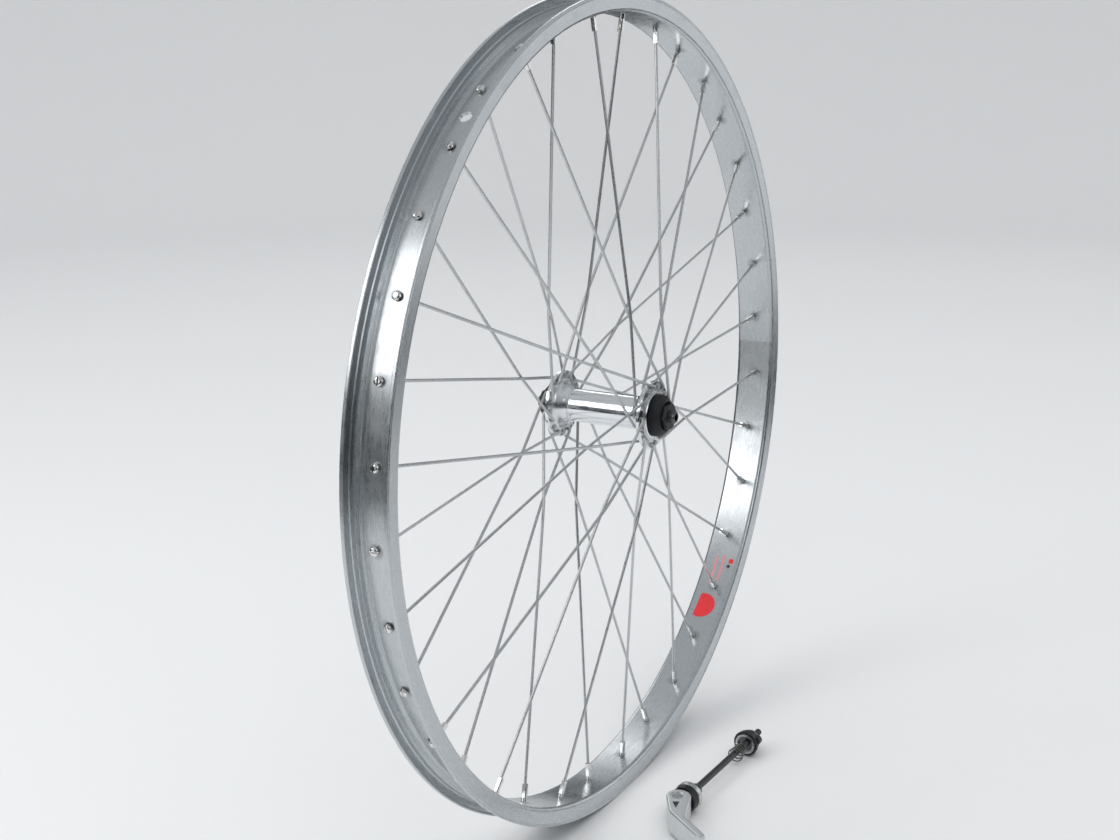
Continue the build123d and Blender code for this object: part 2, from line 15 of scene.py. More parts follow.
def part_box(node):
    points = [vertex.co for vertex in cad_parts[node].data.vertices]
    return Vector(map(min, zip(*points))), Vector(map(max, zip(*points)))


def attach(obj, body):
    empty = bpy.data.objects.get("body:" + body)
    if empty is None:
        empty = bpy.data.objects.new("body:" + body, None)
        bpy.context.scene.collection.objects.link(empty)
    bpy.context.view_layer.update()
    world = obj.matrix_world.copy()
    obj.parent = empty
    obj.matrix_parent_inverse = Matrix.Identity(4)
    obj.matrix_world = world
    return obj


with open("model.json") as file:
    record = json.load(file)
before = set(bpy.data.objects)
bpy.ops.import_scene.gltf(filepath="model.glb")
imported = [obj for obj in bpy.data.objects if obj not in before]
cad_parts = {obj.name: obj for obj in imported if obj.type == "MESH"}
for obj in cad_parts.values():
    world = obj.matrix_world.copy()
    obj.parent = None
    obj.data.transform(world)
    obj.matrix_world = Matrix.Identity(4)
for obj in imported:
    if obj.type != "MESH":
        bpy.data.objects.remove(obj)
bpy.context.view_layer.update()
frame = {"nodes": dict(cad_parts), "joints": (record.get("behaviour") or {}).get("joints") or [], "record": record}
NODES = frame["nodes"]
RECORD = frame["record"]
JOINTS = {joint["name"]: joint for joint in frame["joints"]}
MOUNTS = {mount["name"]: mount for mount in RECORD["mounts"]}
MM = 0.001

FLOOR_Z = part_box("rim")[0].z
RIM_INNER_RADIUS = min(hypot(v.co.x, v.co.z) for v in NODES["rim"].data.vertices)
VALVE = MOUNTS["valve_hole"]["pos_m"]
SEAM_ANGLE = atan2(VALVE[2], VALVE[0]) - pi      # the rolled hoop closes opposite the valve
SPOKE_COUNT = 36
SPOKE_PITCH = 2 * pi / SPOKE_COUNT
FIRST_SPOKE_ANGLE = radians(4.5)
ROD_AXIS = Vector(JOINTS["nut_travel"]["axis"])
ROD_POINT = Vector(JOINTS["nut_turn"]["pos_m"])
ROD_YAW = atan2(ROD_AXIS.y, ROD_AXIS.x)


# ---------------------------------------------------------------- camera, light and floor

def make_camera():
    """The catalogue view: from the right and a little above, with the wheel turned away to the left."""
    place = (-0.93, -0.4884, 0.2594)
    azimuth, elevation, roll = radians(209.483), radians(11.743), radians(-0.427)
    data = bpy.data.cameras.new("camera")
    data.sensor_width = 36.0
    data.lens = 49.28
    data.shift_y = -0.0607
    data.clip_start = 0.01
    data.clip_end = 50.0
    camera = bpy.data.objects.new("camera", data)
    turn = Matrix.Rotation(azimuth + pi / 2, 4, "Z") @ Matrix.Rotation(pi / 2 - elevation, 4, "X")
    camera.matrix_world = Matrix.Translation(place) @ turn @ Matrix.Rotation(roll, 4, "Z")
    bpy.context.scene.collection.objects.link(camera)
    bpy.context.scene.camera = camera


def area_light(name, place, target, size, radiance, colour=(1.0, 1.0, 1.0), in_reflections=True):
    """A soft rectangular panel aimed at a point, itself out of sight."""
    data = bpy.data.lights.new(name, "AREA")
    data.shape = "RECTANGLE"
    data.size, data.size_y = size
    data.energy = radiance * pi * size[0] * size[1]
    data.color = colour
    light = bpy.data.objects.new(name, data)
    light.location = place
    light.rotation_mode = "QUATERNION"
    light.rotation_quaternion = (Vector(target) - Vector(place)).to_track_quat("-Z", "Y")
    light.visible_camera = False
    light.visible_glossy = in_reflections
    bpy.context.scene.collection.objects.link(light)
    return light


def make_lights():
    """A white key to the left, side panels for the rim's faces, and a room light that metal doesn't show.

    The side panels are returned.
    """
    area_light("key", (-1.28, 1.05, 0.86), (0, 0, 0.05), (1.0, 0.85), 3.1)
    area_light("ceiling", (0.0, 0.0, 2.0), (0, 0, 0), (3.2, 3.2), 0.12, (0.98, 0.99, 1.0))
    flank = area_light("flank", (1.55, -0.95, 0.15), (0, 0, -0.02), (1.5, 0.85), 0.88, (0.96, 0.98, 1.0))
    near = area_light("near", (-0.75, -1.7, 0.75), (0, 0, -0.1), (1.1, 0.8), 1.3, (0.97, 0.985, 1.0))
    low = area_light("low", (-2.75, 0.85, 0.12), (0.27, 0, 0), (0.7, 0.75), 1.3)
    back = area_light("back", (1.5, 1.5, 1.1), (0, 0, 0), (1.2, 0.9), 1.8)
    area_light("room", (0.0, 0.0, 3.4), (0, 0, 0), (7.0, 7.0), 0.95, in_reflections=False)
    return [flank, near, low, back]


def make_world():
    """Daylight grey above, and dark at and under the horizon, which gives the metal its contrast."""
    world = bpy.data.worlds.new("studio")
    world.use_nodes = True
    tree = world.node_tree
    background = tree.nodes["Background"]
    place = tree.nodes.new("ShaderNodeTexCoord")
    split = tree.nodes.new("ShaderNodeSeparateXYZ")
    tree.links.new(place.outputs["Generated"], split.inputs[0])
    ramp = tree.nodes.new("ShaderNodeValToRGB")
    ramp.color_ramp.interpolation = "EASE"
    ramp.color_ramp.elements[0].position = 0.0
    ramp.color_ramp.elements[0].color = (0.02, 0.023, 0.027, 1.0)
    ramp.color_ramp.elements[1].position = 0.55
    ramp.color_ramp.elements[1].color = (0.40, 0.415, 0.43, 1.0)
    tree.links.new(split.outputs["Z"], ramp.inputs[0])
    tree.links.new(ramp.outputs[0], background.inputs["Color"])
    bpy.context.scene.world = world
    bpy.context.scene.view_settings.view_transform = "Standard"


def disc_of_rings(name, profile, count=96):
    """A smooth sheet turned about the vertical from a (radius, height) profile."""
    ways = [(cos(2 * pi * k / count), sin(2 * pi * k / count)) for k in range(count)]
    points, faces, previous = [], [], None
    for radius, height in profile:
        if radius == 0:
            ring = [len(points)] * count
            points.append((0.0, 0.0, height))
        else:
            ring = [len(points) + k for k in range(count)]
            points += [(radius * x, radius * y, height) for x, y in ways]
        if previous:
            for k in range(count):
                n = (k + 1) % count
                corners = [previous[k], ring[k], ring[n], previous[n]]
                faces.append(tuple(dict.fromkeys(corners)))
        previous = ring
    mesh = bpy.data.meshes.new(name)
    mesh.from_pydata(points, [], faces)
    mesh.polygons.foreach_set("use_smooth", [True] * len(mesh.polygons))
    sheet = bpy.data.objects.new(name, mesh)
    sheet.location.z = FLOOR_Z
    bpy.context.scene.collection.objects.link(sheet)
    return sheet


def keep_off(panels, sheets):
    """Stop the panels from lighting the floor, where each pool of light would end in a hard line."""
    unlit = bpy.data.collections.new("not_lit_by_side_panels")
    for sheet in sheets:
        unlit.objects.link(sheet)
    for entry in unlit.collection_objects:
        entry.light_linking.link_state = "EXCLUDE"
    for panel in panels:
        panel.light_linking.receiver_collection = unlit


def make_floor():
    """A pale paper floor, and the same paper curving up all round far behind it.

    The far paper is kept out of reflections, so the metal sees a dark band at the horizon. Both
    sheets are returned.
    """
    near_radius, flat_radius, bend, wall_top = 1.15, 3.4, 1.6, 2.6
    turns = [pi / 32 * step for step in range(1, 17)]
    curve = [(flat_radius + bend * sin(turn), bend * (1 - cos(turn))) for turn in turns]
    flat = [(near_radius, 0.0), (2.2, 0.0), (flat_radius, 0.0)]
    floor = disc_of_rings("floor", [(0.0, 0.0), (0.5, 0.0), (near_radius, 0.0)])
    far = disc_of_rings("backdrop", [*flat, *curve, (flat_radius + bend, wall_top)])
    far.visible_glossy = False
    paper = floor_paper()
    floor.data.materials.append(paper)
    far.data.materials.append(paper)
    return [floor, far]


# ---------------------------------------------------------------- node helpers

class Surface:
    """One material's node tree, with short calls that add a node and return its output."""

    def __init__(self, name, colour, metallic, roughness):
        """A new material with a plain metallic value. done() joins the colour and the roughness."""
        self.material = bpy.data.materials.new(name)
        self.material.use_nodes = True
        self.tree = self.material.node_tree
        self.shader = self.tree.nodes["Principled BSDF"]
        self.shader.inputs["Metallic"].default_value = metallic
        self.place = self.add("ShaderNodeTexCoord").outputs["Object"]
        self.colour = colour
        self.roughness = roughness
        self.height = None
        self.normal = None

    def add(self, kind, inputs=(), **settings):
        """Add a node. An input is a socket to link from or a plain value."""
        made = self.tree.nodes.new(kind)
        for key, value in settings.items():
            setattr(made, key, value)
        for key, value in dict(inputs).items():
            if isinstance(value, bpy.types.NodeSocket):
                self.tree.links.new(value, made.inputs[key])
            else:
                made.inputs[key].default_value = value
        return made

    def calc(self, operation, *values, clamp=False):
        """One maths operation on sockets or numbers."""
        pairs = {index: value for index, value in enumerate(values)}
        return self.add("ShaderNodeMath", pairs, operation=operation, use_clamp=clamp).outputs[0]

    def noise(self, place, scale, detail=3.0, rough=0.5):
        """Fractal noise, from about 0.3 to 0.7."""
        inputs = {"Vector": place, "Scale": scale, "Detail": detail, "Roughness": rough}
        return self.add("ShaderNodeTexNoise", inputs).outputs[0]

    def spread(self, value, low, high, to_low=0.0, to_high=1.0, smooth=False):
        """Map a value from low..high to to_low..to_high, clamped."""
        inputs = {0: value, 1: low, 2: high, 3: to_low, 4: to_high}
        kind = "SMOOTHSTEP" if smooth else "LINEAR"
        return self.add("ShaderNodeMapRange", inputs, interpolation_type=kind, clamp=True).outputs[0]

    def mix(self, share, first, second):
        """A colour between two, which are sockets or plain colours."""
        made = self.add("ShaderNodeMix", {"Factor": share}, data_type="RGBA")
        for index, value in ((6, first), (7, second)):
            if isinstance(value, bpy.types.NodeSocket):
                self.tree.links.new(value, made.inputs[index])
            else:
                made.inputs[index].default_value = (*value, 1.0)
        return made.outputs[2]

    def shade(self, share, colour):
        """Lay another colour over the present one."""
        self.colour = self.mix(share, self.colour, colour)

    def roughen(self, amount):
        """Add a varying amount to the roughness."""
        self.roughness = self.calc("ADD", self.roughness, amount, clamp=True)

    def raise_by(self, height):
        """Add to the bump height, in metres."""
        self.height = height if self.height is None else self.calc("ADD", self.height, height)

    def distance(self, first, second):
        """The straight distance that two lengths at right angles make."""
        squares = [self.calc("MULTIPLY", side, side) for side in (first, second)]
        return self.calc("SQRT", self.calc("ADD", *squares))

    def wheel_place(self):
        """(radius, y, angle in radians) about the wheel's axle."""
        part = self.add("ShaderNodeSeparateXYZ", {0: self.place}).outputs
        return self.distance(part[0], part[2]), part[1], self.calc("ARCTAN2", part[2], part[0])

    def rod_place(self):
        """Coordinates with X along the skewer's rod."""
        turn = {"Vector": self.place, "Rotation": (0.0, 0.0, -ROD_YAW)}
        moved = self.add("ShaderNodeMapping", turn, vector_type="POINT").outputs[0]
        return self.add("ShaderNodeSeparateXYZ", {0: moved}).outputs

    def join(self, x, y, z):
        """A vector from three values."""
        return self.add("ShaderNodeCombineXYZ", {0: x, 1: y, 2: z}).outputs[0]

    def edges(self, radius):
        """1 along outer edges within the radius, and 0 on open faces; it also rounds the shading there."""
        rounded = self.add("ShaderNodeBevel", {"Radius": radius}, samples=6).outputs[0]
        plain = self.add("ShaderNodeNewGeometry").outputs["Normal"]
        likeness = self.add("ShaderNodeVectorMath", {0: rounded, 1: plain}, operation="DOT_PRODUCT")
        self.normal = rounded
        return self.spread(likeness.outputs["Value"], 0.995, 0.86)

    def done(self, strength=1.0):
        """Join everything to the shader."""
        if isinstance(self.colour, bpy.types.NodeSocket):
            self.tree.links.new(self.colour, self.shader.inputs["Base Color"])
        else:
            self.shader.inputs["Base Color"].default_value = (*self.colour, 1.0)
        if isinstance(self.roughness, bpy.types.NodeSocket):
            self.tree.links.new(self.roughness, self.shader.inputs["Roughness"])
        else:
            self.shader.inputs["Roughness"].default_value = self.roughness
        normal = self.normal
        if self.height is not None:
            inputs = {"Height": self.height, "Distance": 1.0, "Strength": strength}
            if normal is not None:
                inputs["Normal"] = normal
            normal = self.add("ShaderNodeBump", inputs).outputs[0]
        if normal is not None:
            self.tree.links.new(normal, self.shader.inputs["Normal"])
        return self.material


# ---------------------------------------------------------------- materials

def floor_paper():
    """Pale paper with a faint fibre."""
    s = Surface("floor_paper", (0.78, 0.785, 0.79), 0.0, 0.85)
    fibre = s.noise(s.place, 240.0, 4.0)
    s.shade(s.spread(fibre, 0.35, 0.65, 0.0, 0.25), (0.755, 0.76, 0.765))
    s.shade(s.spread(s.noise(s.place, 0.6, 2.0), 0.4, 0.6, 0.0, 0.2), (0.80, 0.80, 0.80))
    s.raise_by(s.calc("MULTIPLY", fibre, 0.00006))
    return s.done()


def wheel_lines(s, fine, amount):
    """Fine lines that run round the wheel's axle: returns the pattern, and adds it to the bump."""
    radius, y, angle = s.wheel_place()
    place = s.join(s.calc("MULTIPLY", radius, fine), s.calc("MULTIPLY", y, fine), angle)
    lines = s.noise(place, 26.0, 5.0, 0.65)
    s.raise_by(s.calc("MULTIPLY", lines, amount))
    return lines


def angle_to(s, angle, centre):
    """The angle round the wheel from a centre, in radians, always positive."""
    turned = s.calc("SUBTRACT", angle, centre)
    return s.calc("ABSOLUTE", s.calc("WRAP", turned, pi, -pi))


def rim_alloy():
    """Extruded aluminium, rolled into a hoop and satin anodised."""
    s = Surface("rim_alloy_satin", (0.545, 0.575, 0.595), 1.0, 0.27)
    edge = s.edges(0.35 * MM)
    lines = wheel_lines(s, 60.0, 0.000012)
    s.roughen(s.spread(lines, 0.3, 0.7, -0.05, 0.07))
    s.shade(s.spread(lines, 0.35, 0.7, 0.0, 0.22), (0.47, 0.50, 0.52))
    cloud = s.noise(s.place, 14.0, 3.0)
    s.shade(s.spread(cloud, 0.4, 0.62, 0.0, 0.30), (0.59, 0.61, 0.62))
    _, y, angle = s.wheel_place()
    # painted shade: a darker, rougher ring round each spoke hole stands in for the shadow of each nipple's dimple
    from_first = s.calc("SUBTRACT", angle, FIRST_SPOKE_ANGLE)
    from_nearest = s.calc("WRAP", from_first, SPOKE_PITCH / 2, -SPOKE_PITCH / 2)
    away = s.distance(s.calc("MULTIPLY", from_nearest, RIM_INNER_RADIUS), y)
    smear = s.calc("ADD", away, s.calc("MULTIPLY", s.noise(s.place, 420.0, 2.0), 0.003))
    painted_hole_shade = s.spread(smear, 0.0042, 0.0072, 0.55, 0.0, smooth=True)
    s.shade(painted_hole_shade, (0.33, 0.345, 0.355))
    s.roughen(s.calc("MULTIPLY", painted_hole_shade, 0.16))
    # the joint where the rolled hoop closes, opposite the valve
    gap = s.calc("MULTIPLY", angle_to(s, angle, SEAM_ANGLE), RIM_INNER_RADIUS)
    seam = s.spread(gap, 0.00006, 0.00016, 1.0, 0.0)
    s.shade(s.calc("MULTIPLY", seam, 0.8), (0.12, 0.125, 0.13))
    s.raise_by(s.calc("MULTIPLY", seam, -0.00008))
    # handling rubs the edges of the two flanges bright, and leaves faint smudges
    s.shade(s.calc("MULTIPLY", edge, 0.55), (0.74, 0.75, 0.755))
    smudge = s.spread(s.noise(s.place, 38.0, 5.0, 0.7), 0.52, 0.72, 0.0, 0.10)
    s.roughen(smudge)
    return s.done()


def hub_alloy():
    """Turned and polished aluminium."""
    s = Surface("hub_alloy_polished", (0.80, 0.82, 0.84), 1.0, 0.115)
    edge = s.edges(0.3 * MM)
    lines = wheel_lines(s, 170.0, 0.000005)
    s.roughen(s.spread(lines, 0.3, 0.7, -0.03, 0.05))
    s.shade(s.spread(lines, 0.4, 0.7, 0.0, 0.15), (0.70, 0.72, 0.74))
    s.roughen(s.spread(s.noise(s.place, 120.0, 4.0, 0.6), 0.45, 0.7, 0.0, 0.07))
    radius, y, _ = s.wheel_place()
    # the corner between the barrel and each flange is left rougher, and its colour is darkened there as painted
    # shade
    corner = s.spread(s.calc("ABSOLUTE", y), 0.0255, 0.0345, 0.0, 1.0, smooth=True)
    inner = s.spread(radius, 0.0235, 0.0185, 0.0, 1.0)
    dull_and_shaded_corner = s.calc("MULTIPLY", corner, inner)
    s.roughen(s.calc("MULTIPLY", dull_and_shaded_corner, 0.10))
    s.shade(s.calc("MULTIPLY", dull_and_shaded_corner, 0.25), (0.60, 0.62, 0.635))
    s.shade(s.calc("MULTIPLY", edge, 0.5), (0.90, 0.91, 0.92))
    return s.done()


def spoke_steel():
    """Drawn stainless wire, dull with fine die marks and a little dust near the hub."""
    s = Surface("spoke_stainless", (0.62, 0.63, 0.635), 1.0, 0.30)
    fine = s.noise(s.place, 900.0, 3.0, 0.6)
    s.roughen(s.spread(fine, 0.35, 0.65, -0.05, 0.08))
    s.shade(s.spread(s.noise(s.place, 70.0, 3.0), 0.42, 0.62, 0.0, 0.35), (0.50, 0.51, 0.515))
    radius, _, _ = s.wheel_place()
    dusty = s.spread(radius, 0.045, 0.018, 0.0, 0.25)
    s.shade(dusty, (0.40, 0.395, 0.385))
    s.roughen(s.calc("MULTIPLY", dusty, 0.3))
    s.raise_by(s.calc("MULTIPLY", fine, 0.000012))
    return s.done()


def nipple_nickel():
    """Nickel plated brass, bright, with spanner scuffs."""
    s = Surface("nipple_nickel_bright", (0.78, 0.78, 0.765), 1.0, 0.13)
    edge = s.edges(0.18 * MM)
    scuff = s.spread(s.noise(s.place, 700.0, 4.0, 0.7), 0.5, 0.72)
    s.roughen(s.calc("MULTIPLY", scuff, 0.18))
    s.shade(s.calc("MULTIPLY", scuff, 0.22), (0.55, 0.55, 0.53))
    s.shade(s.calc("MULTIPLY", edge, 0.35), (0.80, 0.73, 0.55))
    s.raise_by(s.calc("MULTIPLY", scuff, 0.00001))
    return s.done()


def bearing_steel():
    """Ground steel under a film of grease."""
    s = Surface("bearing_steel_ground", (0.60, 0.60, 0.60), 1.0, 0.12)
    film = s.spread(s.noise(s.place, 160.0, 3.0), 0.42, 0.62)
    s.shade(s.calc("MULTIPLY", film, 0.35), (0.42, 0.36, 0.24))
    s.roughen(s.calc("MULTIPLY", film, 0.12))
    wheel_lines(s, 200.0, 0.000004)
    s.shader.inputs["Coat Weight"].default_value = 0.4
    s.shader.inputs["Coat Roughness"].default_value = 0.12
    return s.done()


def plated_steel(name, colour, roughness, turned):
    """Zinc plated steel: cloudy, with machining marks and bright rubbed edges."""
    s = Surface(name, colour, 1.0, roughness)
    edge = s.edges(0.2 * MM)
    dark = tuple(0.72 * part for part in colour)
    light = tuple(min(1.0, 1.35 * part) for part in colour)
    s.shade(s.spread(s.noise(s.place, 210.0, 4.0, 0.6), 0.42, 0.62, 0.0, 0.55), dark)
    s.roughen(s.spread(s.noise(s.place, 600.0, 3.0), 0.4, 0.65, -0.04, 0.10))
    if turned:
        wheel_lines(s, 190.0, 0.00001)
    else:
        x, y, z = s.rod_place()[:3]
        grain = s.noise(s.join(s.calc("MULTIPLY", x, 9.0), y, z), 900.0, 3.0)
        s.raise_by(s.calc("MULTIPLY", grain, 0.00001))
        # painted shade darkens the sunk middle of the nut's and the clamp's faces, standing in for shadow in the
        # recess; it is also rougher there
        aside = s.calc("SUBTRACT", y, ROD_POINT.y * cos(ROD_YAW) - ROD_POINT.x * sin(ROD_YAW))
        above = s.calc("SUBTRACT", z, ROD_POINT.z)
        painted_recess_shade = s.spread(s.distance(aside, above), 6.25 * MM, 5.85 * MM, 0.0, 0.82)
        s.shade(painted_recess_shade, (0.055, 0.055, 0.06))
        s.roughen(s.calc("MULTIPLY", painted_recess_shade, 0.12))
    s.shade(s.calc("MULTIPLY", edge, 0.7), light)
    return s.done()


def rod_steel():
    """Dark drawn rod, with long die lines and a faint oily bloom."""
    s = Surface("rod_steel_dark", (0.085, 0.088, 0.092), 1.0, 0.36)
    x, y, z = s.rod_place()[:3]
    lines = s.noise(s.join(s.calc("MULTIPLY", x, 0.05), y, z), 2600.0, 3.0, 0.6)
    s.raise_by(s.calc("MULTIPLY", lines, 0.00002))
    s.roughen(s.spread(lines, 0.35, 0.65, -0.05, 0.09))
    s.shade(s.spread(s.noise(s.place, 90.0, 4.0), 0.45, 0.65, 0.0, 0.5), (0.065, 0.062, 0.056))
    edge = s.edges(0.12 * MM)
    s.shade(s.calc("MULTIPLY", edge, 0.6), (0.34, 0.34, 0.34))
    return s.done()


def spring_steel():
    """Dark oiled spring wire, with a brown mottle."""
    s = Surface("spring_wire", (0.22, 0.215, 0.205), 1.0, 0.32)
    mottle = s.noise(s.place, 420.0, 4.0, 0.6)
    s.shade(s.spread(mottle, 0.42, 0.64, 0.0, 0.6), (0.13, 0.118, 0.10))
    s.roughen(s.spread(mottle, 0.4, 0.65, -0.04, 0.12))
    s.raise_by(s.calc("MULTIPLY", mottle, 0.00001))
    return s.done()


def pivot_steel():
    """Turned and plated steel, slightly clouded."""
    s = Surface("pivot_steel_turned", (0.47, 0.48, 0.48), 1.0, 0.26)
    mottle = s.noise(s.place, 380.0, 4.0, 0.6)
    s.shade(s.spread(mottle, 0.45, 0.65, 0.0, 0.5), (0.33, 0.335, 0.335))
    s.roughen(s.spread(mottle, 0.4, 0.65, -0.03, 0.12))
    s.raise_by(s.calc("MULTIPLY", s.noise(s.place, 1800.0, 2.0), 0.000008))
    return s.done()


def lever_alloy():
    """Forged aluminium, tumbled to a pale satin, with rubbed edges and a few fine scratches."""
    s = Surface("lever_alloy_satin", (0.70, 0.725, 0.735), 1.0, 0.36)
    edge = s.edges(0.5 * MM)
    grain = s.noise(s.place, 2200.0, 3.0, 0.6)
    s.raise_by(s.calc("MULTIPLY", grain, 0.00002))
    s.roughen(s.spread(grain, 0.35, 0.65, -0.05, 0.06))
    s.shade(s.spread(s.noise(s.place, 85.0, 4.0), 0.42, 0.62, 0.0, 0.35), (0.60, 0.625, 0.64))
    x, y, z = s.rod_place()[:3]
    scratch = s.noise(s.join(s.calc("MULTIPLY", x, 0.12), s.calc("MULTIPLY", y, 0.5), z), 1400.0, 2.0)
    line = s.spread(scratch, 0.70, 0.74, 0.0, 1.0)
    s.raise_by(s.calc("MULTIPLY", line, -0.00001))
    s.shade(s.calc("MULTIPLY", line, 0.25), (0.82, 0.83, 0.84))
    s.shade(s.calc("MULTIPLY", edge, 0.45), (0.84, 0.85, 0.86))
    return s.done()


def moulded_black(name, colour, roughness, worn, wear, bare_metal=False):
    """Black moulding or paint with a fine orange peel, dust in its grain and rubbed edges."""
    s = Surface(name, colour, 0.0, roughness)
    s.shader.inputs["Specular IOR Level"].default_value = 0.35
    edge = s.edges(0.3 * MM)
    peel = s.noise(s.place, 1500.0, 2.0)
    s.raise_by(s.calc("MULTIPLY", peel, 0.00003))
    s.roughen(s.spread(peel, 0.35, 0.65, -0.05, 0.07))
    dust = s.spread(s.noise(s.place, 130.0, 5.0, 0.7), 0.5, 0.75, 0.0, 0.45)
    s.shade(dust, tuple(part * 2.0 + 0.005 for part in colour))
    s.roughen(s.calc("MULTIPLY", dust, 0.15))
    rubbed = s.spread(s.noise(s.place, 800.0, 4.0, 0.7), 0.38, 0.58)
    mask = s.calc("MULTIPLY", s.calc("MULTIPLY", edge, rubbed), wear)
    s.shade(mask, worn)
    if bare_metal:
        s.tree.links.new(mask, s.shader.inputs["Metallic"])
    return s.done()


def seal_rubber():
    """Smooth black rubber, with a dusty bloom and a fine moulded texture."""
    s = Surface("seal_rubber_smooth", (0.009, 0.0095, 0.011), 0.0, 0.44)
    s.shader.inputs["Specular IOR Level"].default_value = 0.3
    edge = s.edges(0.25 * MM)
    fine = s.noise(s.place, 1800.0, 2.0)
    s.raise_by(s.calc("MULTIPLY", fine, 0.00003))
    bloom = s.spread(s.noise(s.place, 95.0, 5.0, 0.65), 0.45, 0.72, 0.0, 0.6)
    s.shade(bloom, (0.019, 0.020, 0.022))
    s.roughen(s.calc("MULTIPLY", bloom, 0.2))
    s.roughen(s.spread(fine, 0.35, 0.65, -0.04, 0.06))
    s.shade(s.calc("MULTIPLY", edge, 0.35), (0.035, 0.037, 0.041))
    return s.done()


def label_ink(name, colour, roughness=0.32):
    """Printed vinyl film: even ink with a faint grain and tiny rubbed spots."""
    s = Surface(name, colour, 0.0, roughness)
    grain = s.noise(s.place, 2500.0, 2.0)
    s.raise_by(s.calc("MULTIPLY", grain, 0.00001))
    darker = tuple(0.72 * part for part in colour)
    s.shade(s.spread(s.noise(s.place, 300.0, 4.0), 0.45, 0.68, 0.0, 0.35), darker)
    s.shade(s.spread(s.noise(s.place, 1300.0, 3.0, 0.7), 0.70, 0.76, 0.0, 0.6), (0.55, 0.57, 0.58))
    s.roughen(s.spread(grain, 0.35, 0.65, -0.04, 0.08))
    s.shader.inputs["Coat Weight"].default_value = 0.3
    s.shader.inputs["Coat Roughness"].default_value = 0.15
    return s.done()


def nylon():
    """The translucent nylon ring that stops the nut shaking loose."""
    s = Surface("nylon_ring", (0.62, 0.63, 0.60), 0.0, 0.42)
    mottle = s.noise(s.place, 900.0, 3.0)
    s.shade(s.spread(mottle, 0.4, 0.65, 0.0, 0.5), (0.50, 0.50, 0.46))
    s.roughen(s.spread(mottle, 0.4, 0.65, -0.03, 0.08))
    s.raise_by(s.calc("MULTIPLY", mottle, 0.00002))
    s.shader.inputs["Subsurface Weight"].default_value = 0.25
    s.shader.inputs["Subsurface Scale"].default_value = 0.002
    return s.done()


def make_materials():
    """One material for each slot in the record."""
    worn_plastic, worn_nut, worn_locknut = (0.04, 0.04, 0.045), (0.45, 0.46, 0.47), (0.22, 0.215, 0.21)
    return {
        "rim_alloy": rim_alloy(),
        "hub_alloy": hub_alloy(),
        "spoke_steel": spoke_steel(),
        "nipple_nickel": nipple_nickel(),
        "bearing_steel": bearing_steel(),
        "axle_steel": plated_steel("axle_steel_oxide", (0.15, 0.15, 0.155), 0.32, True),
        "rod_steel": rod_steel(),
        "clamp_steel": plated_steel("clamp_steel_plated", (0.56, 0.58, 0.575), 0.24, False),
        "spring_steel": spring_steel(),
        "pivot_steel": pivot_steel(),
        "lever_alloy": lever_alloy(),
        "black_plastic": moulded_black("saddle_plastic", (0.005, 0.0055, 0.0065), 0.42, worn_plastic, 0.6),
        "nut_black": moulded_black("nut_paint", (0.009, 0.010, 0.012), 0.30, worn_nut, 0.55, True),
        "locknut_black": moulded_black("locknut_oxide", (0.011, 0.011, 0.012), 0.36, worn_locknut, 0.5, True),
        "seal_rubber": seal_rubber(),
    }


def dress_nodes(materials):
    """Give each CAD node the material of its slot in the record."""
    for part in RECORD["subparts"]:
        mesh = NODES[part["node"]].data
        mesh.materials.clear()
        mesh.materials.append(materials[part["material_slot"]])


# ---------------------------------------------------------------- pieces built here

def make_piece(name, points, faces, material, body):
    """A mesh piece that rides on a body."""
    mesh = bpy.data.meshes.new(name)
    mesh.from_pydata(points, [], faces)
    mesh.validate()
    mesh.polygons.foreach_set("use_smooth", [True] * len(mesh.polygons))
    mesh.materials.append(material)
    piece = bpy.data.objects.new(name, mesh)
    bpy.context.scene.collection.objects.link(piece)
    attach(piece, body)
    return piece


def sharpen(piece, degrees=35.0):
    """Keep real edges crisp while curved faces shade smoothly."""
    bpy.context.view_layer.objects.active = piece
    piece.select_set(True)
    bpy.ops.object.shade_smooth_by_angle(angle=radians(degrees))
    piece.select_set(False)


def directions(axis):
    """An axis and two directions square to it, all of length 1."""
    axis = Vector(axis).normalized()
    side = axis.orthogonal().normalized()
    return axis, side, axis.cross(side)


def helix_thread(name, start, axis, length, root, crest, pitch, material, body):
    """A V thread ridge wound on a shaft, fading in and out over half a turn at its ends."""
    axis, side, other = directions(axis)
    steps = 40
    run = length - pitch
    count = int(run / pitch * steps)
    sunk = root - 0.08 * MM
    foot, flat = 0.46 * pitch, 0.07 * pitch      # half widths of the ridge at its foot and its top
    points, faces = [], []
    for index in range(count + 1):
        turn = 2 * pi * index / steps
        fade = min(1.0, index / (steps / 2), (count - index) / (steps / 2))
        top = sunk + (crest - sunk) * fade
        way = side * cos(turn) + other * sin(turn)
        middle = Vector(start) + axis * (pitch / 2 + run * index / count)
        for radius, shift in ((sunk, -foot), (top, -flat), (top, flat), (sunk, foot)):
            points.append(middle + way * radius + axis * shift)
    for index in range(count):
        low, high = 4 * index, 4 * index + 4
        faces += [(low + k, low + (k + 1) % 4, high + (k + 1) % 4, high + k) for k in range(4)]
    faces.append((3, 2, 1, 0))
    faces.append(tuple(4 * count + k for k in range(4)))
    piece = make_piece(name, points, faces, material, body)
    sharpen(piece, 50.0)
    return piece


def axle_threads(materials):
    """The thread that shows on each end of the axle, outside its locknut."""
    ridge, pitch = 0.17 * MM, 0.9 * MM
    for side in ("left", "right"):
        mount = MOUNTS[f"axle_end_{side}"]
        axis = Vector(mount["axis"])
        length = mount["dims"]["length_mm"] * MM
        root = mount["dims"]["r_mm"] * MM
        start = Vector(mount["pos_m"]) - axis * length / 2
        helix_thread(
            f"axle_thread_{side}", start, axis, length, root, root + ridge, pitch,
            materials["axle_steel"], "axle_set",
        )


